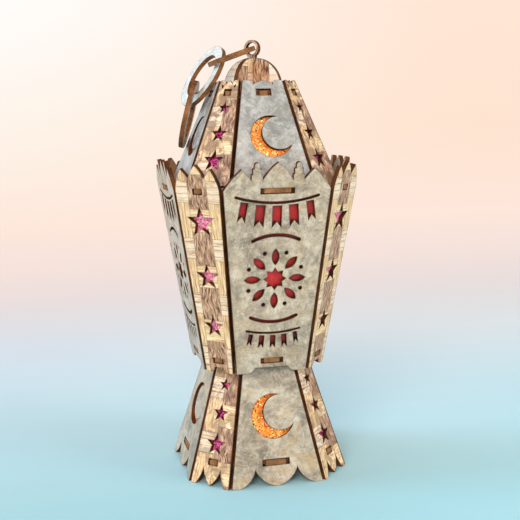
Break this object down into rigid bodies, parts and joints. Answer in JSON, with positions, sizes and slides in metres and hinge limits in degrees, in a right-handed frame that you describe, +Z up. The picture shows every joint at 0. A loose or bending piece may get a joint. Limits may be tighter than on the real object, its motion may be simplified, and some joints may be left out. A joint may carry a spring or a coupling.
{
  "type": "ramadan fanous lantern",
  "caption": "Eight-sided tiered lantern of pierced printed board with skyline crown, dome finial, hanging ring chain and a battery tea light.",
  "frame": {"origin": "on the lantern's axis at table level", "axes": "+Z up along the lantern's axis, -Y out of the front panel, +X to the right seen from the front"},
  "size_m": [0.1308, 0.1308, 0.2967],
  "materials": {
    "stone_board": "printed stone pattern, satin",
    "parquet_board": "printed parquet pattern, satin",
    "bare_board": "raw board with burnt edges",
    "ring_board": "printed stone pattern, burnt edges",
    "orange_card": "orange glitter",
    "magenta_card": "magenta glitter",
    "pink_card": "pink glitter",
    "red_card": "red satin",
    "white_plastic": "moulded, matt",
    "flame_plastic": "frosted, translucent",
    "black_plastic": "moulded, matt"
  },
  "bodies": {
    "lantern": {"foot_wide_panel_front": "stone_board", "foot_wide_panel_right": "stone_board", "foot_wide_panel_back": "stone_board", "foot_wide_panel_left": "stone_board", "foot_wide_card_front": "orange_card", "foot_wide_card_right": "orange_card", "foot_wide_card_back": "orange_card", "foot_wide_card_left": "orange_card", "foot_narrow_panel_front_right": "parquet_board", "foot_narrow_panel_back_right": "parquet_board", "foot_narrow_panel_back_left": "parquet_board", "foot_narrow_panel_front_left": "parquet_board", "foot_narrow_card_front_right": "magenta_card", "foot_narrow_card_back_right": "magenta_card", "foot_narrow_card_back_left": "magenta_card", "foot_narrow_card_front_left": "magenta_card", "body_wide_panel_front": "stone_board", "body_wide_panel_right": "stone_board", "body_wide_panel_back": "stone_board", "body_wide_panel_left": "stone_board", "body_wide_card_front": "red_card", "body_wide_card_right": "red_card", "body_wide_card_back": "red_card", "body_wide_card_left": "red_card", "body_narrow_panel_front_right": "parquet_board", "body_narrow_panel_back_right": "parquet_board", "body_narrow_panel_back_left": "parquet_board", "body_narrow_panel_front_left": "parquet_board", "body_narrow_card_front_right": "pink_card", "body_narrow_card_back_right": "pink_card", "body_narrow_card_back_left": "pink_card", "body_narrow_card_front_left": "pink_card", "roof_wide_panel_front": "stone_board", "roof_wide_panel_right": "stone_board", "roof_wide_panel_back": "stone_board", "roof_wide_panel_left": "stone_board", "roof_wide_card_front": "orange_card", "roof_wide_card_right": "orange_card", "roof_wide_card_back": "orange_card", "roof_wide_card_left": "orange_card", "roof_narrow_panel_front_right": "parquet_board", "roof_narrow_panel_back_right": "parquet_board", "roof_narrow_panel_back_left": "parquet_board", "roof_narrow_panel_front_left": "parquet_board", "roof_narrow_card_front_right": "magenta_card", "roof_narrow_card_back_right": "magenta_card", "roof_narrow_card_back_left": "magenta_card", "roof_narrow_card_front_left": "magenta_card", "foot_plate": "bare_board", "floor_plate": "bare_board", "crown_plate": "bare_board", "cap_plate": "bare_board", "dome_plate": "parquet_board", "dome_cross_plate": "parquet_board"},
    "link_ring": {"link_ring": "ring_board"},
    "middle_ring": {"middle_ring": "ring_board"},
    "handle_ring": {"handle_ring": "ring_board"},
    "tea_light": {"tea_light_case": "white_plastic", "tea_light_flame": "flame_plastic"},
    "tea_light_switch": {"tea_light_switch": "black_plastic"}
  },
  "joints": [
    {"name": "link_ring_swing", "type": "hinge", "parent": "lantern", "child": "link_ring", "pos_m": [0, 0, 0.2911], "axis": [0.3419, 0.9397, 0], "range_deg": [0, 150]},
    {"name": "middle_ring_swing", "type": "hinge", "parent": "link_ring", "child": "middle_ring", "pos_m": [-0.0247, 0.01172, 0.28105], "axis": [0.7677, 0.6117, -0.1909], "range_deg": [0, 75]},
    {"name": "handle_ring_swing", "type": "hinge", "parent": "middle_ring", "child": "handle_ring", "pos_m": [-0.03881, 0.01251, 0.25711], "axis": [-0.782, 0.621, 0.054], "range_deg": [0, 75]},
    {"name": "tea_light_pull", "type": "slide", "parent": "lantern", "child": "tea_light", "axis": [0, 0, -1], "range_m": [0, 0.076]},
    {"name": "light_switch_slide", "type": "slide", "parent": "tea_light", "child": "tea_light_switch", "axis": [1, 0, 0], "range_m": [0, 0.003]}
  ]
}
